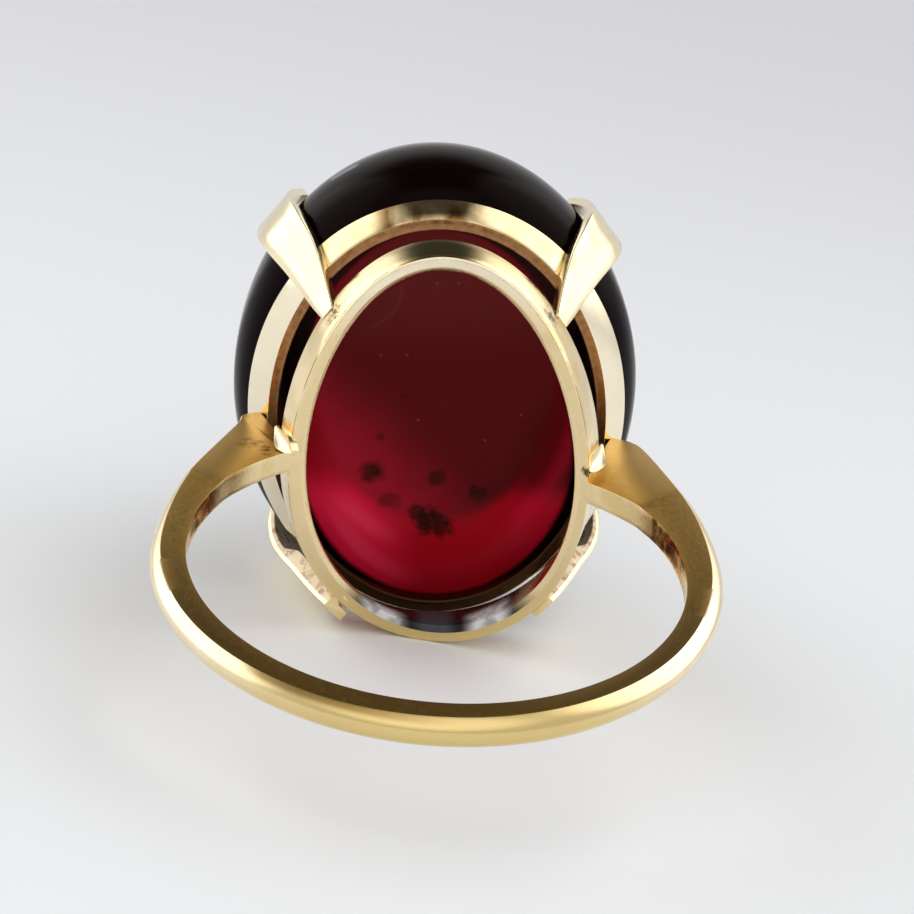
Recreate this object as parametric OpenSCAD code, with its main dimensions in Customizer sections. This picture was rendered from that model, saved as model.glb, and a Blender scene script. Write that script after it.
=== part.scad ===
// Cabochon ring: one soldered gold mount and the oval stone that its four claws hold.
// The pieces are drawn with the finger along Z and the stone out along Y, then laid down to rest.

/* [Finger and shank] */
// Inside diameter of the finger hole, in mm
finger_d = 17.5; // [15:0.1:22]
// Wall of the shank behind the finger, in mm
shank_wall = 1.26; // [1:0.02:1.8]
// Width of the shank along the finger, behind the finger, in mm
rear_width = 1.22; // [0.9:0.02:2]
// Width of the shank along the finger, beside the finger, in mm
side_width = 0.92; // [0.8:0.02:2]
// Turn of the shank against the head, as worn and resoldered, in degrees
shank_turn = 4.1; // [0:0.1:6]
// Height of the shank's middle above the head's middle, in mm
shank_lift = 0.47; // [0:0.01:1]
// Sideways shift of the shank against the head, in mm
shank_shift = -0.42; // [-0.5:0.02:0.5]
// Extra sag of the right shoulder where it meets the head, in mm
shoulder_sag = 0.38; // [0:0.01:0.6]
// How much stouter the right shoulder is than the left, in mm
right_bulk = 0.66; // [0:0.02:0.8]

/* [Gallery] */
// Half width of the lower gallery ring at its rim, in mm
lower_half_w = 5.30; // [4.6:0.05:6]
// Half length of the lower gallery ring at its rim, in mm
lower_half_l = 8.20; // [7.6:0.05:8.6]
// Width of the lower gallery ring's flat rim with its inner bevel, at the sides, in mm
lower_rim = 0.49; // [0.3:0.01:0.8]
// Height of the lower gallery ring's wall, in mm
lower_wall = 1.1; // [0.7:0.05:1.6]
// Half width of the upper gallery wire at its rim, in mm
upper_half_w = 6.22; // [5.6:0.05:7]
// Half length of the upper gallery wire at its rim, in mm
upper_half_l = 8.45; // [8:0.05:9]
// Distance of the upper wire's rim from the finger's axis, in mm
upper_y = 11.05; // [10.4:0.05:12]
// Height of the upper wire's wall, in mm
upper_wall = 0.9; // [0.5:0.05:1.4]

/* [Stone] */
// Half width of the stone at its girdle, in mm
stone_half_w = 7.42; // [6.5:0.02:8.5]
// Half length of the stone at its girdle, in mm
stone_half_l = 9.15; // [8:0.05:10.5]
// Height of the dome above the girdle, in mm
dome_h = 8.0; // [5:0.1:9]
// Height of the stone's side below the girdle, in mm
stone_side = 1.6; // [1:0.05:2.4]
// Gap between the stone and the metal, in mm
seat_gap = 0.05; // [0.03:0.01:0.1]

/* [Claws] */
// Position of the upper left claw round the oval, from the stone's wide side, in degrees
claw_left = 43; // [36:0.5:50]
// Position of the upper right claw round the oval, from the stone's wide side, in degrees
claw_right = 38.5; // [34:0.5:50]
// Position of the two lower claws round the oval, from the stone's wide side, in degrees
claw_lower = 47; // [34:0.5:50]
// Widest part of a claw, at the girdle, in mm
claw_w = 2.0; // [1.2:0.05:3]
// Thickness of a claw, in mm
claw_t = 0.36; // [0.25:0.01:0.6]

/* [Resting position] */
// Roll of the ring toward its left claws, in degrees
lay_roll = -10.48; // [-34:0.01:34]
// Lean of the ring toward the stone's lower end, in degrees
lay_tilt = 11.75; // [8:0.01:26]
// Turn of the ring on the floor, in degrees
lay_turn = 7.99; // [-180:0.01:180]
// Height of the finger hole's middle above the floor, in mm
lay_height = 6.148; // [4:0.001:16]
// Place of the finger hole's middle on the floor, sideways, in mm
lay_x = 0.42; // [-14:0.001:14]
// Place of the finger hole's middle on the floor, front to back, in mm
lay_y = -5.652; // [-14:0.001:14]

/* [Hidden] */
bore_r = finger_d / 2;
bury = 0.3;
oval_steps = 96;
seat_y = upper_y + upper_wall;
back_y = seat_y + seat_gap;
girdle_y = back_y + stone_side;

// Distance of the finger hole's wall from the finger's axis plane, at a sideways place x
function bore_y(x) = sqrt(bore_r * bore_r - x * x);

// A point of an oval with half width a and half length b
function oval(a, b, t, y) = [a * cos(t), y, b * sin(t)];

// A solid skinned over closed sections, its ends either joined in a loop or capped
module skin(sections, loop) {
    n = len(sections);
    m = len(sections[0]);
    last = loop ? n - 1 : n - 2;
    sides = [for (i = [0:last]) for (j = [0:m - 1]) let (
        i2 = (i + 1) % n,
        j2 = (j + 1) % m,
        a = i * m + j,
        b = i * m + j2,
        c = i2 * m + j2,
        d = i2 * m + j
    ) each [[a, b, c], [a, c, d]]];
    caps = loop ? [] : [[for (j = [m - 1:-1:0]) j], [for (j = [0:m - 1]) (n - 1) * m + j]];
    polyhedron(points = [for (s = sections) each s], faces = concat(sides, caps));
}

/* Shank and shoulders */

// Sag of the shank at the right shoulder
function sag(x, y) = x > 0 ? shoulder_sag * pow(max(0, (min(y, 8) - 2) / 6), 2) : 0;

// Middle height of the shank in the head's frame, turned against the head
function shank_z(x, y) = shank_lift - (x - shank_shift) * sin(shank_turn) - 0.35 * sag(x, y);

// One section of the shank, from a place inside the hole to its outer edge, with a rounded crown;
// drop is how far its outer edge leans down
function shank_section(inner, outer, width, crown, drop = 0) = let (
    run = norm(outer - inner),
    e = (outer - inner) / run,
    z = shank_z(outer[0], outer[1]),
    lean = drop + 0.65 * sag(outer[0], outer[1]),
    h = width / 2,
    flat = run - crown,
    outline = concat(
        [[0, h - 0.15], [bury + 0.03, h]],
        [for (k = [0:8]) [flat + crown * sin(k * 22.5), h * cos(k * 22.5)]],
        [[bury + 0.03, -h], [0, 0.15 - h]]
    )
) [for (q = outline) [
    inner[0] + e[0] * q[0],
    inner[1] + e[1] * q[0],
    z + q[1] - lean * pow(q[0] / run, 1.4)
]];

// Outer radius of the hoop, growing from its rear to the shoulders; 0 degrees is at the stone
function hoop_out(a) = bore_r + shank_wall - 0.16 + 0.16 * pow(sin(a / 2), 2)
    + 0.7 * pow(max(0, (82 - a) / 32), 2);

function hoop_section(a) = let (
    side = abs(a > 180 ? a - 360 : a),
    out_r = hoop_out(side) + (a < 180 ? right_bulk * pow(max(0, (115 - a) / 65), 1.5) : 0),
    inner = [shank_shift + (bore_r - bury) * sin(a), (bore_r - bury) * cos(a)],
    outer = [shank_shift + out_r * sin(a), out_r * cos(a)],
    width = side_width + (rear_width - side_width) * max(0, -cos(a)),
    crown = 0.44 - 0.22 * max(0, (100 - side) / 50)
) shank_section(inner, outer, width, crown);

// Shoulder stations beyond the hoop: inner x, inner y, outer x at the left, outer x at the right,
// outer y, drop of the outer edge
SHOULDER = [
    [5.80, 6.05, 8.05, 8.10, 8.30, 0.25],
    [5.50, 6.45, 7.38, 7.66, 9.75, 0.60],
    [5.28, 6.80, 7.15, 7.20, 10.95, 0.95],
    [5.16, 7.10, 6.52, 6.46, 11.60, 1.20]
];

function shoulder_section(s, side) = shank_section(
    [side * s[0] + shank_shift * 0.1, s[1]],
    [side > 0 ? s[3] : -s[2], s[4]],
    side_width - 0.06, 0.2, s[5]
);

module shank() {
    right = [for (i = [3:-1:0]) shoulder_section(SHOULDER[i], 1)];
    hoop = [for (a = [50:5:310]) hoop_section(a)];
    left = [for (i = [0:3]) shoulder_section(SHOULDER[i], -1)];
    skin(concat(right, hoop, left), false);
}

/* Lower gallery ring, its rim on the finger's own curve */
function lower_section(t) = let (
    x = lower_half_w * cos(t),
    flare_w = 0.47,
    rim_y = bore_y(x),
    top_y = bore_r + lower_wall + 0.25 - 0.06 * x * x,
    w = lower_half_w,
    l = lower_half_l
) [
    oval(w - 0.12, l - 0.02, t, rim_y - bury),
    oval(w + flare_w, l - 0.03, t, top_y - 0.06),
    oval(w + flare_w - 0.07, l - 0.1, t, top_y),
    oval(w + flare_w - 0.42, l - 0.45, t, top_y),
    oval(w - lower_rim + 0.05, l - 0.62, t, rim_y + 0.45),
    oval(w - lower_rim, l - 0.66, t, rim_y + 0.14),
    oval(w - lower_rim + 0.19, l - 0.42, t, rim_y),
    oval(w - lower_rim + 0.19, l - 0.42, t, rim_y - bury)
];

module lower_ring() {
    skin([for (i = [0:oval_steps - 1]) lower_section(-i * 360 / oval_steps)], true);
}

/* Upper gallery wire, the flat seat below the stone */
function upper_section(t) = let (
    w = upper_half_w,
    l = upper_half_l,
    flare_w = 0.7,
    flare_l = 0.3
) [
    oval(w - 0.05, l - 0.05, t, upper_y),
    oval(w + 0.01, l + 0.01, t, upper_y + 0.06),
    oval(w + flare_w, l + flare_l, t, seat_y - 0.06),
    oval(w + flare_w - 0.06, l + flare_l - 0.06, t, seat_y),
    oval(w + flare_w - 0.55, l + flare_l - 0.55, t, seat_y),
    oval(w - 0.42, l - 0.52, t, upper_y + 0.08),
    oval(w - 0.36, l - 0.46, t, upper_y)
];

module upper_wire() {
    skin([for (i = [0:oval_steps - 1]) upper_section(-i * 360 / oval_steps)], true);
}

/* Claws */

// Claw stations: y, distance outside the girdle, sideways shift, width as a share of the widest
CLAW = [
    [8.95, -1.76, 0.52, 0.30],
    [9.80, -1.50, 0.46, 0.47],
    [10.9, -1.08, 0.45, 0.66],
    [12.0, -0.52, 0.46, 0.85],
    [12.9, -0.02, 0.38, 0.95],
    [13.7, 0.22, 0.24, 1.00],
    [14.6, 0.20, 0.00, 0.97],
    [15.5, 0.02, -0.20, 0.86],
    [16.4, -0.30, -0.28, 0.70],
    [17.2, -0.68, -0.28, 0.50],
    [17.9, -1.12, -0.26, 0.30],
    [18.2, -1.34, -0.24, 0.12]
];
// The lower claws reach further down the head, are broader and stand further out
CLAW_LOWER = [
    [8.15, -1.45, 0.56, 0.46],
    [8.80, -1.16, 0.55, 0.62],
    [9.80, -0.78, 0.52, 0.82],
    [10.9, -0.40, 0.50, 1.02],
    [12.0, 0.02, 0.46, 1.14],
    [12.9, 0.27, 0.38, 1.18],
    [13.7, 0.34, 0.24, 1.16],
    [14.6, 0.22, 0.00, 1.06],
    [15.5, 0.02, -0.14, 0.90],
    [16.4, -0.30, -0.18, 0.72],
    [17.2, -0.68, -0.20, 0.50],
    [17.9, -1.12, -0.20, 0.30],
    [18.2, -1.34, -0.20, 0.12]
];

// A place of the claw at an angle round the oval: d outside the girdle, s along it
function claw_place(side_x, side_z, at, d, y, s) = let (
    lean = [cos(at) / stone_half_w, sin(at) / stone_half_l],
    out = lean / norm(lean)
) [
    side_x * (stone_half_w * cos(at) + out[0] * d - out[1] * s),
    y,
    side_z * (stone_half_l * sin(at) + out[1] * d + out[0] * s)
];

module claw(side_x, side_z, at) {
    stations = side_z > 0 ? CLAW : CLAW_LOWER;
    last = len(stations) - 1;
    path = [for (s = stations) [s[1], s[0]]];
    flip = side_x * side_z;
    sections = [for (i = [0:last]) let (
        before = path[max(0, i - 1)],
        after = path[min(last, i + 1)],
        run = (after - before) / norm(after - before),
        // the outward side of the plate, square to its run
        face = [run[1], -run[0]],
        h = stations[i][3] * claw_w / 2,
        t = claw_t / 2,
        outline = [
            [h, -t + 0.08], [h, t - 0.1], [h - 0.1, t], [0.1 - h, t],
            [-h, t - 0.1], [-h, -t + 0.08], [0.08 - h, -t], [h - 0.08, -t]
        ]
    ) [for (q = outline) claw_place(
        side_x, side_z, at,
        stations[i][1] + t + seat_gap + face[0] * q[1],
        stations[i][0] + face[1] * q[1],
        stations[i][2] + q[0]
    )]];
    skin(flip < 0 ? sections : [for (s = sections) [for (j = [7:-1:0]) s[j]]], false);
}

// Solder between a lower claw and a ring, from a place inside the metal of the ring outward
module solder(side_x, low_y, high_y, from_d, to_d) {
    sections = [for (d = [from_d, to_d]) [
        for (c = [[low_y, 0.15], [low_y, 0.85], [high_y, 0.9], [high_y, 0.1]])
            claw_place(side_x, -1, claw_lower, d, c[0], c[1])
    ]];
    skin(side_x < 0 ? sections : [for (s = sections) [for (j = [3:-1:0]) s[j]]], false);
}

module finger_hole() {
    translate([shank_shift, 0, 0])
        rotate([0, shank_turn, 0])
            cylinder(r = bore_r, h = 30, center = true, $fn = 180);
}

/* Resting position and the two nodes */
module lay() {
    translate([lay_x, lay_y, lay_height])
        rotate([lay_tilt, 0, lay_turn])
            rotate([0, lay_roll, 0])
                children();
}

module gold_mount() {
    color([0.86, 0.72, 0.42])
        lay()
            difference() {
                union() {
                    shank();
                    lower_ring();
                    upper_wire();
                    claw(-1, 1, claw_left);
                    claw(1, 1, claw_right);
                    claw(-1, -1, claw_lower);
                    claw(1, -1, claw_lower);
                    for (side = [-1, 1]) {
                        solder(side, 8.25, 9.1, -2.15, -1.05);
                        solder(side, 11.3, 11.85, -1.0, 0.02);
                    }
                }
                finger_hole();
            }
}

// Stone stations: height as a share of the side, half axes as a share of the girdle's
STONE_SIDE = [
    [0.00, 0.915],
    [0.26, 0.962],
    [0.80, 0.994],
    [1.00, 1.000]
];

module garnet_cabochon() {
    dome_steps = 16;
    side = [for (s = STONE_SIDE) [back_y + s[0] * stone_side, s[1]]];
    dome = [for (k = [1:dome_steps - 1]) let (a = k * 90 / dome_steps)
        [girdle_y + dome_h * sin(a), cos(a)]];
    rings = concat(side, dome);
    color([0.45, 0.02, 0.06])
        lay()
            skin([for (s = rings) [for (i = [0:oval_steps - 1])
                oval(stone_half_w * s[1], stone_half_l * s[1], i * 360 / oval_steps, s[0])]], false);
}

gold_mount();
garnet_cabochon();
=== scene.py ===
import math

import bmesh
import bpy
from mathutils import Matrix, Vector


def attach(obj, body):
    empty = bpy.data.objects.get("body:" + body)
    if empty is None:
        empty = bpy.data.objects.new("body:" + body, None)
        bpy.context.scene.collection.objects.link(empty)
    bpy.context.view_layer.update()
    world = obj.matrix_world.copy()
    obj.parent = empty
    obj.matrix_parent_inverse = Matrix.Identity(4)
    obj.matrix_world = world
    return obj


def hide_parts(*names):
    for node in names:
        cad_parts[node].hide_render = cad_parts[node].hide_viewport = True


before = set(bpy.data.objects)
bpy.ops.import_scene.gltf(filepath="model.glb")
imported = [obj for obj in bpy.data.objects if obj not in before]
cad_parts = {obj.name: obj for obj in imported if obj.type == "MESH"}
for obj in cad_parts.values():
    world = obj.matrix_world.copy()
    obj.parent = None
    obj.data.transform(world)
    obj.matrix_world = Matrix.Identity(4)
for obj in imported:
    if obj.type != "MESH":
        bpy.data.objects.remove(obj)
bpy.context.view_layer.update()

# Gold mount, shank. Drawn bar of 14 ct yellow gold bent round the finger, its crown domed and
# polished, its flanks filed flat and left dull, the finger hole's wall worn. It widens into two
# shoulders that are soldered to the head, the right one stouter and sagging.

MM = 0.001
# The ring's own frame has the finger along Z and the stone out along Y; this lays it on the floor
RING_ROLL, RING_TILT, RING_TURN = (math.radians(a) for a in (-10.48, 11.75, 7.99))
RING_PLACE = Vector((0.42, -5.652, 6.148))
RING_TURNED = (Matrix.Rotation(RING_TURN, 3, "Z") @ Matrix.Rotation(RING_TILT, 3, "X")
               @ Matrix.Rotation(RING_ROLL, 3, "Y"))

BORE_R, SHANK_SHIFT, SHANK_TURN = 8.75, -0.42, math.radians(4.1)
BORE_AXIS = Vector((math.sin(SHANK_TURN), 0, math.cos(SHANK_TURN)))
SHANK_WALL, REAR_WIDTH, SIDE_WIDTH, SHANK_LIFT = 1.26, 1.22, 0.92, 0.47
SHOULDER_SAG, SAG_INSIDE, RIGHT_BULK = 0.38, 0.35, 0.66
CROWN_RISE, HOOP_CORNER, SHOULDER_CORNER = 0.44, 40.0, 25.0
# A shoulder's stations: x and y at the hole, the left and the right x outside, y outside, its drop
SHOULDER = ((5.50, 6.45, 7.38, 7.66, 9.75, 0.60), (5.28, 6.80, 7.15, 7.20, 10.95, 0.95),
            (5.16, 7.10, 6.52, 6.46, 11.60, 1.20))
# The width of an eased edge, the least angle eased, and the greatest that still shades smooth
EASED, SHARP, SMOOTH = 0.03, 28, math.radians(50)

GOLD = (0.97, 0.79, 0.47, 1)
GOLD_DEEP = (0.74, 0.55, 0.20, 1)
CREAM = (1.0, 0.93, 0.76, 1)
RIM_SIDE = (0.90, 0.74, 0.43, 1)
FLANK_FRONT = (0.74, 0.46, 0.125, 1)
FLANK_REAR = (0.27, 0.16, 0.037, 1)
DIRT_AND_SHADE = (0.035, 0.018, 0.007, 1)
SOLDER_AND_SHADE_BROWN = (0.42, 0.20, 0.05, 1)
ORANGE = (0.86, 0.46, 0.10, 1)
DARK_RED = (0.11, 0.015, 0.008, 1)
DARK_OLIVE = (0.20, 0.145, 0.055, 1)
MOTTLE_BROWN = (0.14, 0.075, 0.02, 1)


class Finish:
    """A value or colour in a material; sums on it add nodes."""

    def __init__(self, tree, socket=None):
        self.tree, self.socket = tree, socket

    def node(self, kind, settings=(), sockets=(), out=0):
        """A new node of a kind: its settings, then its sockets' values or links."""
        made = self.tree.nodes.new(kind)
        for name, value in dict(settings).items():
            if name == "stops":
                ramp = made.color_ramp
                while len(ramp.elements) > 1:
                    ramp.elements.remove(ramp.elements[0])
                ramp.elements[0].position = value[0][0]
                ramp.elements[0].color = value[0][1]
                for at, colour in value[1:]:
                    ramp.elements.new(at).color = colour
            else:
                setattr(made, name, value)
        for name, value in dict(sockets).items():
            if isinstance(value, Finish):
                self.tree.links.new(value.socket, made.inputs[name])
            else:
                made.inputs[name].default_value = value
        return Finish(self.tree, made.outputs[out] if len(made.outputs) else None)

    def sum(self, operation, *values):
        """A Math node on one or two values."""
        return self.node("ShaderNodeMath", {"operation": operation}, enumerate(values))

    def __add__(self, other):
        return self.sum("ADD", self, other)

    __radd__ = __add__

    def __sub__(self, other):
        return self.sum("SUBTRACT", self, other)

    def __rsub__(self, other):
        return self.sum("SUBTRACT", other, self)

    def __mul__(self, other):
        return self.sum("MULTIPLY", self, other)

    __rmul__ = __mul__

    def __truediv__(self, other):
        return self.sum("DIVIDE", self, other)

    def __rtruediv__(self, other):
        return self.sum("DIVIDE", other, self)

    def __pow__(self, other):
        return self.sum("POWER", self, other)

    def __rpow__(self, other):
        return self.sum("POWER", other, self)

    def rise(self, low, high):
        """0 below low, 1 above high, smooth between; falls instead where low is above high."""
        span = {"From Min": min(low, high), "From Max": max(low, high),
                "To Min": 0.0 if low < high else 1.0, "To Max": 1.0 if low < high else 0.0}
        return self.node("ShaderNodeMapRange", {"interpolation_type": "SMOOTHSTEP"},
                         {"Value": self, **span})

    def part(self, axis):
        """One of a place's parts, X, Y or Z."""
        return self.node("ShaderNodeSeparateXYZ", (), {"Vector": self}, "XYZ".index(axis))

    def noise(self, scale, detail=3.0, rough=0.5, stretch=None):
        """Noise over a place, which is stretched first if asked."""
        place = self
        if stretch is not None:
            place = self.node("ShaderNodeMapping", (), {"Vector": self, "Scale": stretch})
        return self.node("ShaderNodeTexNoise", (), {
            "Vector": place, "Scale": scale, "Detail": detail, "Roughness": rough})

    def mix(self, under, over, share):
        """One colour laid over another, by a share."""
        return self.node("ShaderNodeMix", {"data_type": "RGBA"}, {0: share, 6: under, 7: over}, 2)

    def spot(self, x, y, z, size, ragged=0.0):
        """1 at a place of the ring's frame, falling to 0 at a size, in mm."""
        away = self.node("ShaderNodeVectorMath", {"operation": "DISTANCE"},
                         {0: self, 1: (x, y, z)}, "Value")
        if ragged:
            away = away + (self.noise(3.1, 3.0, 0.6) - 0.5) * ragged
        return away.rise(size, size * 0.35)

    def spots(self, *rows):
        """The strongest of several spots: a place, a size and a raggedness in each row."""
        made = self.spot(*rows[0])
        for row in rows[1:]:
            made = self.sum("MAXIMUM", made, self.spot(*row))
        return made


def new_finish(name):
    """A new material, a start for its sums, and the place in the ring's frame, in mm, with its
    parts across, outward and up."""
    material = bpy.data.materials.new(name)
    material.use_nodes = True
    material.node_tree.nodes.clear()
    start = Finish(material.node_tree)
    start.node("ShaderNodeOutputMaterial")
    back = RING_TURNED.transposed()
    place = start.node("ShaderNodeMapping", {"vector_type": "POINT"}, {
        "Vector": start.node("ShaderNodeTexCoord", (), (), "Object"),
        "Rotation": back.to_euler("XYZ"), "Scale": (1 / MM,) * 3, "Location": -(back @ RING_PLACE)})
    return material, start, place, place.part("X"), place.part("Y"), place.part("Z")


def surface(start, sockets, relief=None, strength=0.0, depth=0.0):
    """Ends a finish with its shader, and with a relief of a strength and a depth in mm."""
    if relief is not None:
        sockets = {**sockets, "Normal": start.node("ShaderNodeBump", (), {
            "Height": relief, "Strength": strength, "Distance": depth * MM})}
    shader = start.node("ShaderNodeBsdfPrincipled", (), sockets)
    start.tree.links.new(shader.socket, start.tree.nodes["Material Output"].inputs["Surface"])


POLISHED, start, place, across, outward, up = new_finish("polished gold")
cloudy = place.noise(0.9, 3.0, 0.55).rise(0.38, 0.66)
fine = place.noise(7.0, 4.0, 0.62)
hairs = place.noise(5.0, 4.0, 0.7, (1.0, 1.0, 9.0))
colour = start.mix(GOLD, GOLD_DEEP, cloudy * 0.38)
# Painted shade and highlight: the head's lower end and the shank behind the finger are painted
# deeper in colour, the rest of the shank paler cream
colour = start.mix(colour, GOLD_DEEP, up.rise(-2.5, -7.5) * outward.rise(6.0, 7.5) * 0.55)
behind = outward.rise(4.0, 1.0)
colour = start.mix(colour, CREAM, behind * 0.4)
colour = start.mix(colour, GOLD_DEEP, outward.rise(-5.5, -9.5) * 0.85)
# Painted shade, deeper gold along the crown's lower edge
from_low_edge = up + across * math.sin(SHANK_TURN)
colour = start.mix(colour, GOLD_DEEP, from_low_edge.rise(0.55, 0.05) * behind * 0.45)
# A dark streak along the crown's upper edge, a painted dark reflection, and a brown line along its
# lowest one, painted shade near the table
streak = (from_low_edge.rise(0.80, 0.96) * outward.rise(-2.0, -4.5) * across.rise(-7.4, -6.4)
          * across.rise(1.0, -4.0))
colour = start.mix(colour, FLANK_REAR, streak * 0.85)
low_line = from_low_edge.rise(0.02, -0.08) * outward.rise(-6.0, -9.0)
colour = start.mix(colour, SOLDER_AND_SHADE_BROWN, low_line * 0.7)
# The fine olive line where the lower ring's wall meets its rim
from_shift = (across - SHANK_SHIFT) * math.cos(SHANK_TURN) - up * math.sin(SHANK_TURN)
from_hole = (from_shift * from_shift + outward * outward) ** 0.5 - BORE_R
line = from_hole.rise(0.03, 0.06) * from_hole.rise(0.15, 0.10) * outward.rise(6.4, 6.9)
colour = start.mix(colour, FLANK_REAR, line * place.noise(1.3, 2.0, 0.5).rise(0.36, 0.5) * 0.8)
# The lower ring's wall is darker olive in the middle of its very top
olive_top = (start.sum("ABSOLUTE", across - 0.1).rise(1.7, 0.5) * up.rise(7.4, 7.9)
           * outward.rise(10.6, 10.2) * outward.rise(8.75, 9.0))
colour = start.mix(colour, DARK_OLIVE, olive_top * 0.8)
# The upper wire's outer wall is painted cream at its sides, a painted highlight, and mottled brown
# along its top beside the left claw, a painted dark reflection
mottled_reflection = (outward.rise(10.9, 11.1) * up.rise(6.0, 7.6) * across.rise(-2.6, -1.7)
           * across.rise(2.2, 0.9))
patches = place.noise(0.75, 3.0, 0.5, (1.0, 0.5, 0.5)).rise(0.57, 0.44)
colour = start.mix(colour, MOTTLE_BROWN, mottled_reflection * (patches * 0.55 + 0.45))
colour = start.mix(colour, CREAM, outward.rise(10.9, 11.05) * up.rise(7.2, 5.6) * 0.7)
reflection_flecks = place.noise(2.5, 4.0, 0.6).rise(0.46, 0.60)
colour = start.mix(colour, SOLDER_AND_SHADE_BROWN, mottled_reflection * reflection_flecks * 0.35)
# Dirt where the claws' feet and the shoulders meet the lower ring
dirt = place.spots((-4.05, 8.6, 6.25, 0.75, 0.9), (4.3, 8.6, 6.05, 0.75, 0.8),
                   (-5.35, 7.25, 1.35, 0.34, 0.8), (5.35, 6.75, 0.38, 0.34, 0.8),
                   (-4.6, 9.3, -5.2, 0.7, 0.8), (4.6, 9.3, -5.2, 0.7, 0.8))
colour = start.mix(colour, DIRT_AND_SHADE, dirt * (fine.rise(0.40, 0.56) * 0.75 + 0.2))
surface(start, {"Base Color": colour, "Metallic": 1.0,
                "Roughness": fine.rise(0.42, 0.7) * 0.06 + cloudy * 0.04 + 0.09},
        hairs + fine * 0.6, 0.05, 0.05)

DULL, start, place, across, outward, up = new_finish("dull gold flank")
fine = place.noise(9.0, 4.0, 0.65)
# Painted shade: the flank is painted lighter toward the head and darker behind
colour = start.mix(FLANK_FRONT, FLANK_REAR, outward.rise(4.5, -5.5))
colour = start.mix(colour, GOLD_DEEP, fine.rise(0.60, 0.72) * 0.22)
# Orange solder run along the wire's feet, with dirt beside it
for tint, spot in ((ORANGE, (-6.3, 8.9, 1.2, 0.42)), (ORANGE, (-6.0, 8.25, 1.2, 0.36)),
                   (SOLDER_AND_SHADE_BROWN, (6.35, 7.9, 0.3, 0.55)), (ORANGE, (6.5, 7.7, 0.3, 0.26))):
    colour = start.mix(colour, tint, place.spot(*spot, 0.5) * 0.9)
dirt = start.sum("MAXIMUM", place.spot(-6.8, 7.9, 1.2, 0.62, 0.9) * 0.8, place.spots(
    (-6.15, 7.35, 1.3, 0.5, 0.8), (5.9, 7.5, 0.3, 0.42, 0.8), (5.5, 6.45, 0.35, 0.3, 0.8),
    (-6.2, 6.95, 1.3, 0.3, 0.8), (6.3, 5.8, 0.3, 0.25, 0.8)))
blotches = place.noise(2.6, 4.0, 0.6).rise(0.40, 0.62)
colour = start.mix(colour, DIRT_AND_SHADE, dirt * (blotches * 0.7 + 0.1))
# Pale solder by the lower ring, a dark crevice below it and one bright nick
for spot in ((-5.62, 7.95, 1.25, 0.50), (5.55, 7.15, 0.3, 0.42), (6.05, 6.98, 0.3, 0.36)):
    colour = start.mix(colour, CREAM, place.spot(*spot, 0.25) * 0.8)
crevice = place.spots((-5.36, 7.22, 1.3, 0.22, 0.1), (-5.62, 7.08, 1.3, 0.16, 0.1),
                      (-5.95, 6.95, 1.3, 0.12, 0.1), (5.30, 6.62, 0.35, 0.22, 0.1),
                      (5.55, 6.36, 0.35, 0.16, 0.1), (5.85, 6.05, 0.35, 0.12, 0.1))
colour = start.mix(colour, DIRT_AND_SHADE, crevice * 0.9)
colour = start.mix(colour, CREAM, place.spot(6.95, 5.83, 0.3, 0.13))
surface(start, {"Base Color": colour, "Metallic": 1.0,
                "Roughness": fine.rise(0.3, 0.7) * 0.12 + 0.34},
        fine + place.noise(3.0, 4.0, 0.7), 0.10, 0.05)

WORN, start, place, across, outward, up = new_finish("worn gold inside")
fine = place.noise(7.0, 4.0, 0.62)
colour = start.mix(GOLD, GOLD_DEEP, place.noise(0.9, 3.0, 0.5).rise(0.4, 0.62) * 0.5)
# Mottled browns and reds a little way behind each shoulder, a painted reflection
reflected_mottle = start.node("ShaderNodeValToRGB", {"stops": (
    (0.0, DARK_RED), (0.40, DARK_RED), (0.47, SOLDER_AND_SHADE_BROWN), (0.52, ORANGE), (0.57, GOLD_DEEP),
    (0.62, SOLDER_AND_SHADE_BROWN), (0.70, DARK_RED))}, {"Fac": place.noise(1.15, 3.0, 0.6, (1.0, 1.0, 0.7))})
colour = start.mix(colour, reflected_mottle, outward.rise(4.6, 3.6) * outward.rise(0.2, 1.2) * 0.92)
colour = start.mix(colour, GOLD_DEEP, outward.rise(-3.0, -8.0) * 0.5)
# On the lower ring's rim: painted reflections, darker gold at the sides and cream at the top, and
# painted shade, deeper at its lower end
head = outward.rise(6.3, 7.0)
colour = start.mix(colour, RIM_SIDE, head * up.rise(6.8, 4.0) * 0.8)
colour = start.mix(colour, CREAM, head * up.rise(5.2, 7.4) * 0.8)
colour = start.mix(colour, GOLD_DEEP, up.rise(-2.5, -7.0) * outward.rise(6.0, 7.5) * 0.6)
# Dark flecks at the ends of the mottling, part of its painted reflection, and dirt where the
# shoulders meet the rim
dark = place.spots((7.5, 3.8, 0.2, 0.26, 0.5), (7.9, 2.8, 0.3, 0.3, 0.6),
                   (8.3, 1.0, 0.1, 0.42, 0.6), (-8.7, 2.6, 0.9, 0.4, 0.6),
                   (-5.4, 7.1, 1.3, 0.24, 0.6), (5.2, 6.75, 0.4, 0.24, 0.6))
colour = start.mix(colour, DIRT_AND_SHADE, dark * 0.9)
scratches = place.noise(2.4, 3.0, 0.6, (1.0, 1.0, 5.0)).rise(0.60, 0.66) * outward.rise(4.0, 5.0)
colour = start.mix(colour, FLANK_FRONT, scratches * 0.15)
surface(start, {"Base Color": colour, "Metallic": 1.0,
                "Roughness": fine.rise(0.35, 0.7) * 0.10 + 0.17}, fine, 0.06, 0.06)


def off_bore(point):
    """How far a point lies outside the finger hole."""
    from_middle = point - Vector((SHANK_SHIFT, 0, 0))
    return (from_middle - from_middle.dot(BORE_AXIS) * BORE_AXIS).length - BORE_R


def to_bore(inside, outside):
    """The point on the finger hole's wall on the way between two points."""
    for _ in range(26):
        middle = (inside + outside) / 2
        inside, outside = (inside, middle) if off_bore(middle) > 0 else (middle, outside)
    return outside


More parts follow.
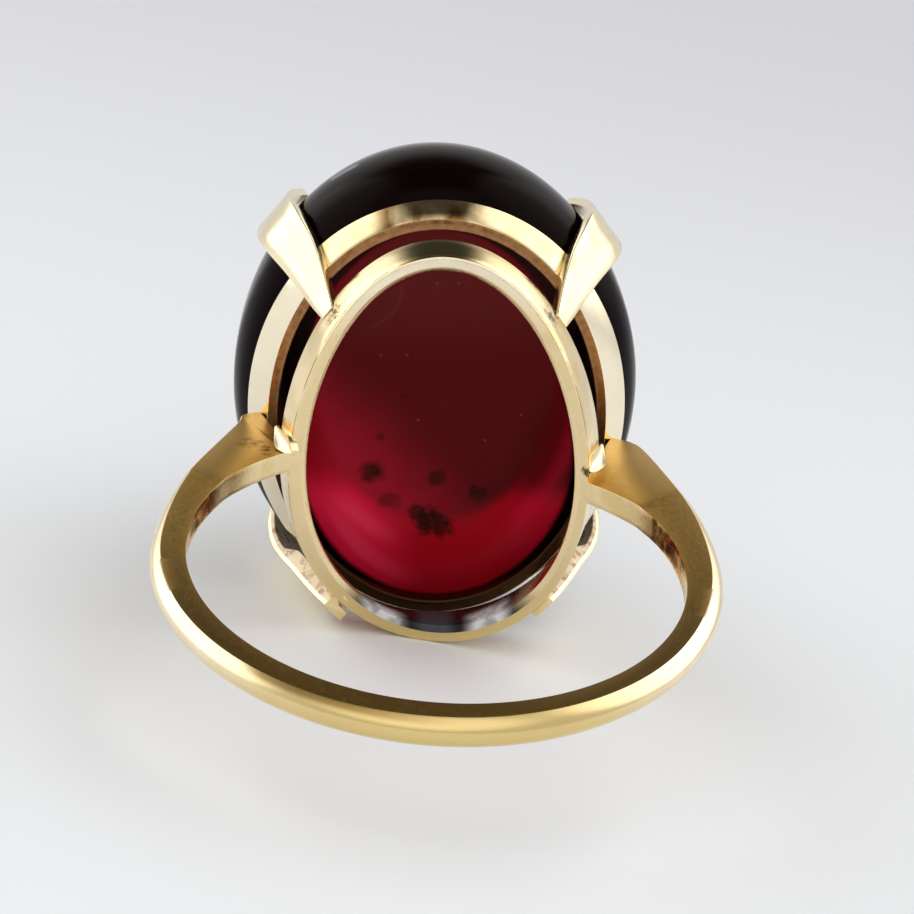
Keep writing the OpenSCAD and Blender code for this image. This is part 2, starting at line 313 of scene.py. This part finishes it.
def smooth_rows(rows, steps):
    """Rows of numbers with more rows between each two, on one smooth curve through them."""
    last = len(rows) - 1
    made = []
    for i in range(last):
        around = (rows[max(0, i - 1)], rows[i], rows[i + 1], rows[min(last, i + 2)])
        for k in range(steps):
            t = k / steps
            made.append([0.5 * (2 * q + (r - p) * t + (2 * p - 5 * q + 4 * r - s) * t * t
                                + (3 * q - p - 3 * r + s) * t ** 3) for p, q, r, s in zip(*around)])
    return [*made, list(rows[-1])]


def pick(piece):
    """Makes a piece the only one that operators act on."""
    bpy.ops.object.select_all(action="DESELECT")
    piece.select_set(True)
    bpy.context.view_layer.objects.active = piece


def lay_down(piece):
    """Turns a piece made in the ring's own frame, in mm, down onto the floor."""
    piece.matrix_world = (Matrix.Scale(MM, 4) @ Matrix.Translation(RING_PLACE)
                          @ RING_TURNED.to_4x4())
    pick(piece)
    bpy.ops.object.transform_apply(location=True, rotation=True, scale=True)


def skinned(name, sections, closed, finishes, strips, edge=EASED, sharp=SHARP):
    """A gold piece drawn over its cross sections, its sharp edges eased. Strips says which of the
    finishes each strip between two points of a section has; the ends have the first."""
    shape = bmesh.new()
    rows = [[shape.verts.new(point) for point in section] for section in sections]
    count = len(rows[0])
    for one, two in zip(rows, rows[1:] + rows[:1] if closed else rows[1:]):
        for j in range(count):
            strip = shape.faces.new((one[j], one[(j + 1) % count], two[(j + 1) % count], two[j]))
            strip.material_index = strips[j]
    if not closed:
        shape.faces.new(rows[0])
        shape.faces.new(rows[-1])
    bmesh.ops.recalc_face_normals(shape, faces=shape.faces)
    mesh = bpy.data.meshes.new(name)
    shape.to_mesh(mesh)
    shape.free()
    for finish in finishes:
        mesh.materials.append(finish)
    piece = bpy.data.objects.new(name, mesh)
    bpy.context.scene.collection.objects.link(piece)
    if edge:
        pick(piece)
        ease = piece.modifiers.new("eased edges", "BEVEL")
        ease.limit_method = "ANGLE"
        ease.width, ease.segments, ease.angle_limit = edge, 2, math.radians(sharp)
        bpy.ops.object.modifier_apply(modifier=ease.name)
    lay_down(piece)
    bpy.ops.object.shade_smooth_by_angle(angle=SMOOTH)
    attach(piece, "root")
    return piece


def sag(x, y):
    """How far the right shoulder has sunk at a place, in mm."""
    return SHOULDER_SAG * max(0.0, (min(y, 8.0) - 2) / 6) ** 2 if x > 0 else 0.0


def shank_row(inner, outer, width, crown, drop, corner):
    """The numbers of one station of the shank."""
    middle = (SHANK_LIFT - (outer[0] - SHANK_SHIFT) * math.sin(SHANK_TURN)
              - SAG_INSIDE * sag(*outer))
    lean = drop + (1 - SAG_INSIDE) * sag(*outer)
    return [*inner, *outer, middle, width / 2, crown, lean, corner]


def hoop_row(degrees):
    """The numbers of one station of the hoop, at an angle round the finger from the stone; it
    thickens toward the shoulders, on the right from further back."""
    a = math.radians(degrees)
    beside = abs(degrees - 360 if degrees > 180 else degrees)
    out = (BORE_R + SHANK_WALL - 0.16 + 0.16 * math.sin(a / 2) ** 2
           + 0.7 * max(0.0, (82 - beside) / 32) ** 2
           + (RIGHT_BULK * max(0.0, (115 - degrees) / 65) ** 1.5 if degrees < 180 else 0.0))
    return shank_row((SHANK_SHIFT + (BORE_R - 0.3) * math.sin(a), (BORE_R - 0.3) * math.cos(a)),
                     (SHANK_SHIFT + out * math.sin(a), out * math.cos(a)),
                     SIDE_WIDTH + (REAR_WIDTH - SIDE_WIDTH) * max(0.0, -math.cos(a)),
                     CROWN_RISE * (1 - 0.5 * max(0.0, (100 - beside) / 50)), 0.0, HOOP_CORNER)


def shoulder_row(station, side):
    """The numbers of one station of a shoulder, on the right where side is 1."""
    inner_x, inner_y, left_x, right_x, outer_y, drop = station
    return shank_row((side * inner_x + 0.1 * SHANK_SHIFT, inner_y),
                     (right_x if side > 0 else -left_x, outer_y),
                     SIDE_WIDTH - 0.06, 0.2, drop, SHOULDER_CORNER)


def shank_section(row):
    """One cross section: the domed crown, and the finger hole's wall below it."""
    inner, outer = Vector((row[0], row[1], 0)), Vector((row[2], row[3], 0))
    middle, half, crown, lean, corner = row[4:]
    run = (outer - inner).length
    along = (outer - inner) / run
    start_angle = math.radians(corner)

    def spot(q, w):
        point = inner + along * q
        return Vector((point.x, point.y, middle + w - lean * max(0.0, q / run) ** 1.4))

    def wall(w):
        return to_bore(spot(-1.5, w), spot(run * 0.8, w))

    arc = [math.radians(corner + k * (180 - 2 * corner) / 10) for k in range(11)]
    reach = 1 - math.sin(start_angle)
    domed = [spot(run - crown + crown * (math.sin(a) - math.sin(start_angle)) / reach,
                  half * math.cos(a) / math.cos(start_angle)) for a in arc]
    return [wall(half), *domed, wall(-half), wall(-half / 2), wall(0.0), wall(half / 2)]


rows = ([shoulder_row(s, 1) for s in reversed(SHOULDER)] + [hoop_row(a) for a in range(55, 310, 5)]
        + [shoulder_row(s, -1) for s in SHOULDER])
shank = skinned("shank", [shank_section(row) for row in smooth_rows(rows, 6)], False,
                (POLISHED, DULL, WORN), [1] + [0] * 10 + [1] + [2] * 4)
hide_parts("gold_mount")

# Gold mount, lower gallery ring. A flared oval band soldered between the shoulders; its rim is
# ground to the finger hole's own curve, so it rises toward its ends. Inside, its lower end is
# painted dark as a painted reflection, with two painted glints.

LOWER_HALF_W, LOWER_HALF_L, LOWER_RIM, LOWER_WALL, FLARE = 5.30, 8.20, 0.49, 1.1, 0.47
AROUND = [math.radians(k * 1.25) for k in range(288)]
REFLECTED_DARK, REFLECTED_GREY, GLINT = (0.012, 0.010, 0.008, 1), (0.05, 0.06, 0.07, 1), (0.70, 0.72, 0.75, 1)

INSIDE, start, place, across, outward, up = new_finish("gold inside the lower ring")
fine = place.noise(1.5, 3.0, 0.5)
# The lower end is painted as a non-metal: a dark painted reflection, greyer toward the sides, and
# two painted glints
lower = up.rise(-5.0, -6.6)
from_side = start.sum("ABSOLUTE", across + 0.1)
glint = (from_side.rise(0.9, 1.6) * from_side.rise(2.9, 2.3) * outward.rise(9.7, 9.0)
         * (fine.rise(0.36, 0.56) * 0.5 + 0.5))
colour = start.mix(REFLECTED_DARK, REFLECTED_GREY, from_side.rise(0.9, 0.3))
surface(start, {"Base Color": start.mix(GOLD, start.mix(colour, GLINT, glint), lower),
                "Metallic": 1.0 - lower, "Roughness": fine.rise(0.3, 0.7) * 0.1 + 0.2,
                "Specular IOR Level": 0.2})


def oval(half_w, half_l, t, y):
    """The point of an oval at an angle, y outward from the finger's middle."""
    return Vector((half_w * math.cos(t), y, half_l * math.sin(t)))


def lower_section(t):
    """The band's section: outer wall, top, inner wall and the rim on the finger hole."""
    w, l = LOWER_HALF_W, LOWER_HALF_L
    rim = math.sqrt(BORE_R ** 2 - (w * math.cos(t)) ** 2)
    top = BORE_R + LOWER_WALL + 0.25 - 0.06 * (w * math.cos(t)) ** 2
    upper_out = oval(w + FLARE, l - 0.03, t, top - 0.06)
    outer = to_bore(oval(w - 0.22, l - 0.02, t, rim - 1.0), upper_out)
    inner = to_bore(oval(w - LOWER_RIM + 0.19, l - 0.42, t, rim - 1.0),
                    oval(w - LOWER_RIM + 0.19, l - 0.42, t, top))
    face = [to_bore(outer.lerp(inner, k) - Vector((0, 0.5, 0)),
                    outer.lerp(inner, k) + Vector((0, 0.5, 0))) for k in (0.33, 0.67)]
    return [outer, outer.lerp(upper_out, 0.35), outer.lerp(upper_out, 0.7), upper_out,
            oval(w + FLARE - 0.07, l - 0.1, t, top), oval(w + FLARE - 0.42, l - 0.45, t, top),
            oval(w - LOWER_RIM + 0.05, l - 0.62, t, inner.y + 0.45),
            oval(w - LOWER_RIM, l - 0.66, t, inner.y + 0.14), inner, *reversed(face)]


skinned("lower_gallery_ring", [lower_section(t) for t in AROUND], True, (POLISHED, WORN, INSIDE),
        [0] * 5 + [2] * 3 + [1] * 3, sharp=16)

# Gold mount, upper gallery wire. A flat flared oval wire that the stone's back rests on, its feet
# soldered to the shoulders; its inner face and lower edge are painted copper brown, a painted
# reflection of the red stone in shade, going black lower down as painted shade and tarnish.

UPPER_HALF_W, UPPER_HALF_L, UPPER_Y, SEAT_Y = 6.22, 8.45, 11.05, 11.95
COPPER_DARK, COPPER = (0.34, 0.165, 0.07, 1), (0.50, 0.28, 0.12, 1)

SEAT, start, place, across, outward, up = new_finish("gold seat with painted shade and tarnish")
fine = place.noise(4.0, 4.0, 0.62)
# Copper brown, a painted reflection of the red stone in shade; black lower down, painted shade and
# tarnish
colour = start.mix(COPPER_DARK, COPPER, fine.rise(0.30, 0.70))
surface(start, {"Base Color": start.mix(colour, DIRT_AND_SHADE, up.rise(3.0, -1.0) * 0.97),
                "Metallic": 1.0, "Roughness": fine.rise(0.3, 0.7) * 0.2 + 0.3})


def upper_section(t):
    """The wire's section: outer wall, seat, inner face and lower edge."""
    w, l = UPPER_HALF_W, UPPER_HALF_L
    return [oval(w - 0.05, l - 0.05, t, UPPER_Y), oval(w + 0.01, l + 0.01, t, UPPER_Y + 0.06),
            oval(w + 0.35, l + 0.14, t, UPPER_Y + 0.42), oval(w + 0.7, l + 0.3, t, SEAT_Y - 0.06),
            oval(w + 0.64, l + 0.24, t, SEAT_Y), oval(w + 0.15, l - 0.25, t, SEAT_Y),
            oval(w - 0.42, l - 0.52, t, UPPER_Y + 0.08), oval(w - 0.36, l - 0.46, t, UPPER_Y),
            oval(w - 0.21, l - 0.26, t, UPPER_Y - 0.01)]


skinned("upper_gallery_wire", [upper_section(t) for t in AROUND], True, (POLISHED, SEAT),
        [0] * 5 + [1] * 4)

# Gold mount, claws. Four flat plates of sheet gold, painted paler than the other gold as a painted
# highlight, that flare out from the lower ring past the wire and fold over the stone's edge, each
# narrowed to a tip; the lower two are broader, and their inner edges are smeared with solder.

HALF_W, HALF_L = 7.42, 9.15
CLAW_W, CLAW_T, SEAT_GAP = 2.0, 0.36, 0.05
# Stations from foot to tip: y, how far outside the girdle, how far along it, the share of the width
CLAW = ((8.95, -1.76, 0.52, 0.30), (9.80, -1.50, 0.46, 0.47), (10.9, -1.08, 0.45, 0.66),
        (12.0, -0.52, 0.46, 0.85), (12.9, -0.02, 0.38, 0.95), (13.7, 0.22, 0.24, 1.00),
        (14.6, 0.20, 0.00, 0.97), (15.5, 0.02, -0.20, 0.86), (16.4, -0.30, -0.28, 0.70),
        (17.2, -0.68, -0.28, 0.50), (17.9, -1.12, -0.26, 0.30), (18.2, -1.34, -0.24, 0.12))
CLAW_LOWER = ((8.15, -1.45, 0.56, 0.46), (8.80, -1.16, 0.55, 0.62), (9.80, -0.78, 0.52, 0.82),
              (10.9, -0.40, 0.50, 1.02), (12.0, 0.02, 0.46, 1.14), (12.9, 0.27, 0.38, 1.18),
              (13.7, 0.34, 0.24, 1.16), (14.6, 0.22, 0.00, 1.06), (15.5, 0.02, -0.14, 0.90),
              (16.4, -0.30, -0.18, 0.72), (17.2, -0.68, -0.20, 0.50), (17.9, -1.12, -0.20, 0.30),
              (18.2, -1.34, -0.20, 0.12))
# Where round the oval each claw stands, in degrees from its broad side
LOWER_CLAW_AT = 47
CLAWS = (("upper_left_claw", -1, 1, 43), ("upper_right_claw", 1, 1, 38.5),
         ("lower_left_claw", -1, -1, LOWER_CLAW_AT), ("lower_right_claw", 1, -1, LOWER_CLAW_AT))
# How much solder thickens a lower claw's inner edge, and how far out it reaches
SMEAR, SMEAR_END = 0.34, 12.2
PLATE_HIGHLIGHT, SMEAR_PALE, SMEAR_BROWN = (1.0, 0.885, 0.60, 1), (0.86, 0.72, 0.50, 1), (0.50, 0.30, 0.19, 1)

BRIGHT, start, place, across, outward, up = new_finish("gold plate with painted highlight")
cloudy = place.noise(0.8, 3.0, 0.55)
fine = place.noise(6.0, 4.0, 0.62)
# The plate gold is painted paler than the other gold, a painted highlight
colour = start.mix(PLATE_HIGHLIGHT, GOLD, cloudy.rise(0.46, 0.62) * 0.5)
shaded = place.noise(0.6, 2.0, 0.5, (1.0, 1.4, 1.0)).rise(0.58, 0.70)
colour = start.mix(colour, GOLD_DEEP, shaded * 0.3)
# Below the middle the plate is painted plainer gold, painted shade on the lower claws
surface(start, {"Base Color": start.mix(colour, GOLD, up.rise(0.0, -2.0) * 0.6), "Metallic": 1.0,
                "Roughness": fine.rise(0.4, 0.7) * 0.08 + 0.14}, fine + cloudy, 0.05, 0.06)

SMEARED, start, place, across, outward, up = new_finish("gold smeared with solder")
fine = place.noise(2.6, 4.0, 0.62)
colour = start.mix(SMEAR_PALE, SMEAR_BROWN, fine.rise(0.52, 0.62) * 0.8)
colour = start.mix(colour, SOLDER_AND_SHADE_BROWN, place.noise(1.6, 3.0, 0.6).rise(0.55, 0.66) * 0.5)
surface(start, {"Base Color": colour, "Metallic": 0.25, "Specular IOR Level": 0.3,
                "Roughness": fine.rise(0.3, 0.7) * 0.2 + 0.4}, fine, 0.3, 0.1)


def claw_place(side_x, side_z, at, d, y, s):
    """A place of a claw at an angle round the oval: d outside the girdle, s along it."""
    lean = Vector((math.cos(at) / HALF_W, math.sin(at) / HALF_L)).normalized()
    return Vector((side_x * (HALF_W * math.cos(at) + lean.x * d - lean.y * s), y,
                   side_z * (HALF_L * math.sin(at) + lean.y * d + lean.x * s)))


def claw_sections(side_x, side_z, degrees):
    """The sections of one claw, from its foot to its tip."""
    rows = smooth_rows(CLAW if side_z > 0 else CLAW_LOWER, 5)
    half_t = CLAW_T / 2
    made = []
    for i, (y, d, s, share) in enumerate(rows):
        before, after = rows[max(0, i - 1)], rows[min(len(rows) - 1, i + 1)]
        run = Vector((after[1] - before[1], after[0] - before[0])).normalized()
        h = share * CLAW_W / 2
        smear = SMEAR * min(1.0, max(0.0, (SMEAR_END - y) / 0.8)) if side_z < 0 else 0.0
        outline = ((h, half_t), (h * 0.5, half_t), (0, half_t), (-h * 0.5, half_t), (-h, half_t),
                   (-h, 0), (-h, -half_t - smear), (0, -half_t), (h, -half_t), (h, 0))
        made.append([claw_place(side_x, side_z, math.radians(degrees),
                                d + half_t + SEAT_GAP + run.y * q, y - run.x * q, s + p)
                     for p, q in outline])
    return made


for name, side_x, side_z, degrees in CLAWS:
    skinned(name, claw_sections(side_x, side_z, degrees), False, (POLISHED, BRIGHT, SMEARED),
            [1] * 5 + [1 if side_z > 0 else 2] * 3 + [1] * 2, edge=0.04)

# Gold mount, solder. Small fillets left where the shoulders meet the lower ring's wall and rounded
# joints at the lower claws' feet, in the plate gold with its painted highlight, and dark ones
# behind them at the upper wire, in the seat's painted shade.

# A fillet's stations: y, how far it reaches along the flank, how far it rises up the wall
FILLET = ((6.85, 0.12, 0.10), (7.00, 0.30, 0.27), (7.3, 0.44, 0.40), (7.7, 0.38, 0.36),
          (8.2, 0.22, 0.22), (8.7, 0.06, 0.06))
# The joints of a lower claw: its y, from and to how far outside the girdle, its radius, its finish
JOINTS = (("low", 8.72, -1.75, -1.0, 0.40, BRIGHT), ("high", 11.58, -1.0, 0.0, 0.26, SEAT))


def fillet_section(side, flank_z, y, reach, rise):
    """One section of a fillet, hollow between a shoulder's flank and the lower ring's wall."""
    wall_x = 5.36 + 0.30 * (y - 6.95)
    curve = [(wall_x - 0.25, flank_z - 0.2), (wall_x + reach, flank_z - 0.02)]
    for a in (k * math.pi / 14 for k in range(1, 7)):
        curve.append((wall_x + reach * (1 - math.sin(a)), flank_z + rise * (1 - math.cos(a))))
    curve += [(wall_x, flank_z + rise), (wall_x - 0.25, flank_z + rise)]
    return [Vector((side * x, y, z)) for x, z in curve]


def joint_section(side, k, middle_y, from_d, to_d, size):
    """One of the eight round sections of a joint, which is slimmest in its middle."""
    swell = size * (0.82 + 0.18 * abs(k / 3.5 - 1) ** 1.5)
    return [claw_place(side, -1, math.radians(LOWER_CLAW_AT), from_d + (to_d - from_d) * k / 7,
                       middle_y + swell * math.sin(a), 0.5 + swell * 1.1 * math.cos(a))
            for a in (j * math.pi / 8 for j in range(16))]


for title, side, flank_z in (("left", -1, 1.24), ("right", 1, 0.30)):
    skinned(f"shoulder_solder_{title}",
            [fillet_section(side, flank_z, *row) for row in smooth_rows(FILLET, 4)],
            False, (POLISHED, BRIGHT), [1] * 10, edge=0.0)
for title, side in (("left", -1), ("right", 1)):
    for part, *sizes, finish in JOINTS:
        skinned(f"claw_solder_{title}_{part}", [joint_section(side, k, *sizes) for k in range(8)],
                False, (POLISHED, finish), [1] * 16, edge=0.0)

# Garnet cabochon. One oval stone of deep red garnet, cut with a high dome in front and a flat
# back, polished all over. It is so deep a red that its sides look black; on the flat back are
# painted a dusky veil, a painted reflection, a red crescent of painted light below it and a few
# dark inclusions, and over the dome's front a painted red glow.

DOME_H, BACK_Y, GIRDLE_Y = 8.0, 12.0, 13.6
BACK_SHARE, DOME_STEPS = 0.915, 40
EDGE = ((12.416, 0.962), (13.28, 0.994), (GIRDLE_Y, 1.0))
VEIL_TOP, VEIL = (0.120, 0.0125, 0.0130, 1), (0.090, 0.0040, 0.0055, 1)
VEIL_RED, VEIL_RIGHT = (0.34, 0.0085, 0.0240, 1), (0.045, 0.0012, 0.0026, 1)
CRESCENT, CRESCENT_LEFT = (0.34, 0.0040, 0.0120, 1), (0.70, 0.0110, 0.0520, 1)
CRESCENT_TOP, CRESCENT_DUSK = (0.20, 0.0025, 0.0080, 1), (0.06, 0.0010, 0.0020, 1)
PINK, GAP_RED = (0.80, 0.050, 0.120, 1), (0.022, 0.0045, 0.004, 1)
DOME_RED = (0.030, 0.0008, 0.0025, 1)
STONE_BLACK, INCLUSION = (0.0035, 0.0006, 0.0008, 1), (0.010, 0.0040, 0.0020, 1)
SPECK, REFLECTION_GREY = (0.22, 0.09, 0.08, 1), (0.24, 0.25, 0.26, 1)
# Inclusions: x and z on the back, size, raggedness and strength
INCLUSIONS = ((-2.36, -2.82, 0.66, 0.5, 0.90), (-0.21, -4.98, 0.86, 0.8, 1.0),
              (-0.75, -4.62, 0.48, 0.6, 0.8), (0.26, -5.32, 0.60, 0.6, 0.9),
              (0.04, -3.11, 0.46, 0.4, 0.8), (1.53, -3.79, 0.50, 0.5, 0.8),
              (-1.69, -4.05, 0.56, 0.7, 0.55), (-2.06, -1.3, 0.24, 0.3, 0.6),
              (-1.15, 0.45, 0.20, 0.3, 0.4))
SPECKS = ((-2.03, 2.21), (-1.08, 2.2), (0.79, 5.2), (0.0, 5.21), (-0.67, -0.59), (1.8, -1.49),
          (3.11, -0.43))

bpy.ops.object.select_all(action="DESELECT")
bpy.ops.mesh.primitive_circle_add(vertices=192, radius=1.0, fill_type="NGON",
                                  rotation=(math.pi / 2, 0, 0))
stone = bpy.context.object
stone.name = "garnet"
bpy.ops.object.mode_set(mode="EDIT")
bpy.ops.mesh.select_all(action="SELECT")
bpy.ops.transform.resize(value=(HALF_W * BACK_SHARE, 1, HALF_L * BACK_SHARE),
                         center_override=(0, 0, 0))
bpy.ops.transform.translate(value=(0, BACK_Y, 0))
place_y, share = BACK_Y, BACK_SHARE
dome = [(GIRDLE_Y + DOME_H * math.sin(a), math.cos(a)) for a in
        (k * math.pi / 2 / DOME_STEPS for k in range(1, DOME_STEPS))]
for y, wide in (*EDGE, *dome):
    bpy.ops.mesh.extrude_region_move(TRANSFORM_OT_translate={"value": (0, y - place_y, 0)})
    bpy.ops.transform.resize(value=(wide / share, 1, wide / share), center_override=(0, y, 0))
    place_y, share = y, wide
bpy.ops.mesh.extrude_region_move(
    TRANSFORM_OT_translate={"value": (0, GIRDLE_Y + DOME_H - place_y, 0)})
bpy.ops.mesh.merge(type="CENTER")
bpy.ops.mesh.select_all(action="SELECT")
bpy.ops.mesh.normals_make_consistent(inside=False)
bpy.ops.object.mode_set(mode="OBJECT")
bpy.ops.object.transform_apply(location=True, rotation=True, scale=True)
lay_down(stone)
bpy.ops.object.shade_smooth_by_angle(angle=math.radians(30))

GARNET, start, place, across, outward, up = new_finish("polished garnet")
clouds = place.noise(0.35, 3.0, 0.5) - 0.5


def inside(x, z, half_w, half_l):
    """0 in the middle of an oval on the stone's back and 1 on its edge."""
    wide, high = (across - x) / half_w, (up - z) / half_l
    return (wide * wide + high * high + clouds * 0.06) ** 0.5


# The veil is a painted reflection on the back, the crescent below it painted light seen through the
# stone
leftward = across * -0.55 - up * 0.45 + clouds * 0.8
rightward = across * 0.8 - up * 0.35
veil_reflection = start.mix(VEIL, VEIL_TOP, up.rise(1.5, 5.5))
veil_reflection = start.mix(veil_reflection, VEIL_RED, leftward.rise(0.4, 3.5))
veil_reflection = start.mix(veil_reflection, VEIL_RIGHT, rightward.rise(2.4, 4.6) * up.rise(1.2, -1.0))
crescent_glow = start.mix(CRESCENT, CRESCENT_LEFT, across.rise(-0.3, -3.3) * up.rise(-1.0, -4.0))
crescent_glow = start.mix(crescent_glow, CRESCENT_LEFT, across.rise(2.2, 4.6) * 0.38)
crescent_glow = start.mix(crescent_glow, CRESCENT_TOP, up.rise(-4.2, -2.2) * 0.7)
dusk = across.rise(2.0, 3.6) * up.rise(-4.6, -3.2)
crescent_glow = start.mix(crescent_glow, CRESCENT_DUSK, dusk * 0.85)
# Two soft arcs of painted light below the veil, pink on the left
arc = inside(0.2, 1.0, 5.1, 7.15)
arc = arc.rise(0.90, 0.985) * arc.rise(1.09, 1.01)
low_left = across.rise(-0.9, -3.6) * up.rise(-3.2, -5.2)
crescent_glow = start.mix(crescent_glow, PINK, arc * low_left * 0.85)
crescent_glow = start.mix(crescent_glow, CRESCENT_LEFT, arc * across.rise(1.6, 3.4) * 0.20)
outer_arc = inside(0.1, -1.2, 4.7, 6.6)
outer_arc = outer_arc.rise(0.86, 0.96) * outer_arc.rise(1.04, 0.99)
low_left = across.rise(0.0, -3.0) * up.rise(-3.5, -5.5)
crescent_glow = start.mix(crescent_glow, PINK, outer_arc * low_left * 0.45)
back = start.mix(veil_reflection, crescent_glow, inside(-0.03, 1.2, 4.42, 6.34).rise(0.93, 1.05))
# Beyond the crescent's ends the back is painted black, a painted shadow of the wire
red_ends = inside(0.03, -2.07, 5.0, 6.16).rise(0.975, 1.02)
back = start.mix(back, STONE_BLACK, red_ends * up.rise(0.6, -1.2))
# Past the red the back is painted dark brown, painted shade, in the gap between the two rings
gap_red = start.mix(STONE_BLACK, GAP_RED, up.rise(3.0, 5.5))
in_gap = inside(0, -0.4, 5.05, 7.75).rise(1.0, 1.03)
back = start.mix(back, gap_red, in_gap * up.rise(-2.0, 0.5))
fleck = place.noise(2.2, 4.0, 0.7).rise(0.30, 0.62)
for x, z, size, ragged, share in INCLUSIONS:
    mark = place.spot(x, BACK_Y, z, size, ragged)
    back = start.mix(back, INCLUSION, mark * (fleck * 0.35 + 0.62) * share)
for x, z in SPECKS:
    back = start.mix(back, SPECK, place.spot(x, BACK_Y, z, 0.08) * 0.3)
# A fracture seen as a faint curved line
bend = inside(-3.2, 5.0, 1.95, 1.75)
line = bend.rise(0.93, 0.98) * bend.rise(1.05, 1.0) * across.rise(-2.6, -2.1) * up.rise(5.4, 4.9)
back = start.mix(back, SPECK, line * 0.10)
# A deep red glow painted over the dome's front, painted light seen through the stone
glow = outward.rise(GIRDLE_Y + 3.0, GIRDLE_Y + 7.5)
on_back = outward.rise(BACK_Y + 0.05, BACK_Y + 0.01)
colour = start.mix(start.mix(STONE_BLACK, DOME_RED, glow), back, on_back)
# A painted reflection: a pale patch at the upper left of the edge
reflection_patch = place.spots((-3.29, 15.57, 7.88, 0.40), (-3.45, 15.55, 7.78, 0.37),
                   (-3.61, 15.55, 7.68, 0.32), (-3.12, 15.55, 7.98, 0.37),
                   (-2.96, 15.55, 8.08, 0.32))
colour = start.mix(colour, REFLECTION_GREY, reflection_patch * (clouds * 0.8 + 0.75))
wear = place.noise(5.0, 4.0, 0.7)
surface(start, {"Base Color": colour, "Roughness": wear.rise(0.5, 0.75) * 0.10 + 0.10,
                "IOR": 1.45, "Specular IOR Level": 0.04, "Coat Roughness": 0.04,
                "Coat Weight": outward.rise(GIRDLE_Y + 1.8, GIRDLE_Y + 4.5) * 0.9},
        wear, 0.02, 0.05)
stone.data.materials.clear()
stone.data.materials.append(GARNET)
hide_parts("garnet_cabochon")
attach(stone, "root")

# Floor, light and camera. The ring lies on a plain pale table in soft window light from both
# sides; the camera sees it from the side of the shank, as in the photograph.

TABLE_NEAR, TABLE_FAR = (0.900, 0.925, 0.965, 1), (0.665, 0.675, 0.735, 1)
ROOM, DARKEST, LIGHT = 0.71, 0.03, (1.0, 0.985, 0.96, 1)
# The camera's own directions in the ring's frame
VIEW_FORWARD = Vector((0.03063, 0.83525, -0.54902))
VIEW_RIGHT = Vector((0.99945, -0.03253, 0.00627))
VIEW_UP = Vector((0.01262, 0.54891, 0.83578))
CAMERA_DISTANCE, SENSOR = 200.0, 36.0
# In pixels of the picture: its width, the focal length, and where its middle lies from the ring's
PICTURE, FOCAL, MIDDLE_RIGHT, MIDDLE_UP = 914, 5733.0, 10.0, 128.9

bpy.ops.object.select_all(action="DESELECT")
bpy.ops.mesh.primitive_plane_add(size=6.0)
table = bpy.context.object
table.name = "table"
PALE_TABLE, start, *_ = new_finish("pale table")
# The table is painted paler near the ring and darker and bluer beyond it, a painted falloff of
# light
far = start.node("ShaderNodeTexCoord", (), (), "Object").part("Y").rise(0.0, 0.12)
surface(start, {"Base Color": start.mix(TABLE_NEAR, TABLE_FAR, far), "Roughness": 0.7,
                "Specular IOR Level": 0.2})
table.data.materials.append(PALE_TABLE)

world = bpy.data.worlds.new("room light")
bpy.context.scene.world = world
world.use_nodes = True
world.node_tree.nodes.clear()
sky = Finish(world.node_tree)
way = sky.node("ShaderNodeMapping", {"vector_type": "NORMAL"}, {
    "Vector": sky.node("ShaderNodeTexCoord", (), (), "Generated"),
    "Rotation": RING_TURNED.transposed().to_euler("XYZ")})


def toward(x, y, z):
    """How closely a direction of the room points the given way in the ring's frame: the cosine."""
    return way.node("ShaderNodeVectorMath", {"operation": "DOT_PRODUCT"},
                    {0: way, 1: Vector((x, y, z)).normalized()}, "Value")


# Dark high up beyond the ring, bright on both sides of that, a window at the left and one at the
# right, and a pale ceiling behind the camera
sideways = sky.sum("ABSOLUTE", way.part("X") - 0.03)
bright = ROOM - sideways.rise(0.46, 0.24) * toward(0.0, 0.62, 0.79).rise(0.70, 0.88) * 0.62
beyond = way.part("Y").rise(0.45, 0.70) * way.part("Z").rise(-0.1, 0.15)
bright = bright + sideways.rise(0.34, 0.46) * beyond * 0.5
for side in (-1, 1):
    bright = bright + toward(side * 0.85, 0.3, 0.45).rise(0.74, 0.94) * 0.95
bright = bright + toward(0.03, -0.55, 0.84).rise(0.75, 0.97) * 0.5
bright = sky.sum("MAXIMUM", bright, DARKEST)
shine = sky.node("ShaderNodeBackground", (), {"Color": LIGHT, "Strength": bright})
sky.node("ShaderNodeOutputWorld", (), {"Surface": shine})

camera = bpy.data.objects.new("camera", bpy.data.cameras.new("camera"))
bpy.context.scene.collection.objects.link(camera)
bpy.context.scene.camera = camera
camera.data.sensor_width = SENSOR
camera.data.lens = FOCAL / PICTURE * SENSOR
camera.data.clip_start, camera.data.clip_end = 0.01, 20.0
aim = VIEW_FORWARD + MIDDLE_RIGHT / FOCAL * VIEW_RIGHT + MIDDLE_UP / FOCAL * VIEW_UP
aim.normalize()
side = (VIEW_RIGHT - VIEW_RIGHT.dot(aim) * aim).normalized()
turned = Matrix((side, side.cross(aim), -aim)).transposed()
stand = (RING_TURNED @ (-CAMERA_DISTANCE * VIEW_FORWARD) + RING_PLACE) * MM
camera.matrix_world = Matrix.Translation(stand) @ (RING_TURNED @ turned).to_4x4()
bpy.context.scene.view_settings.view_transform = "Standard"
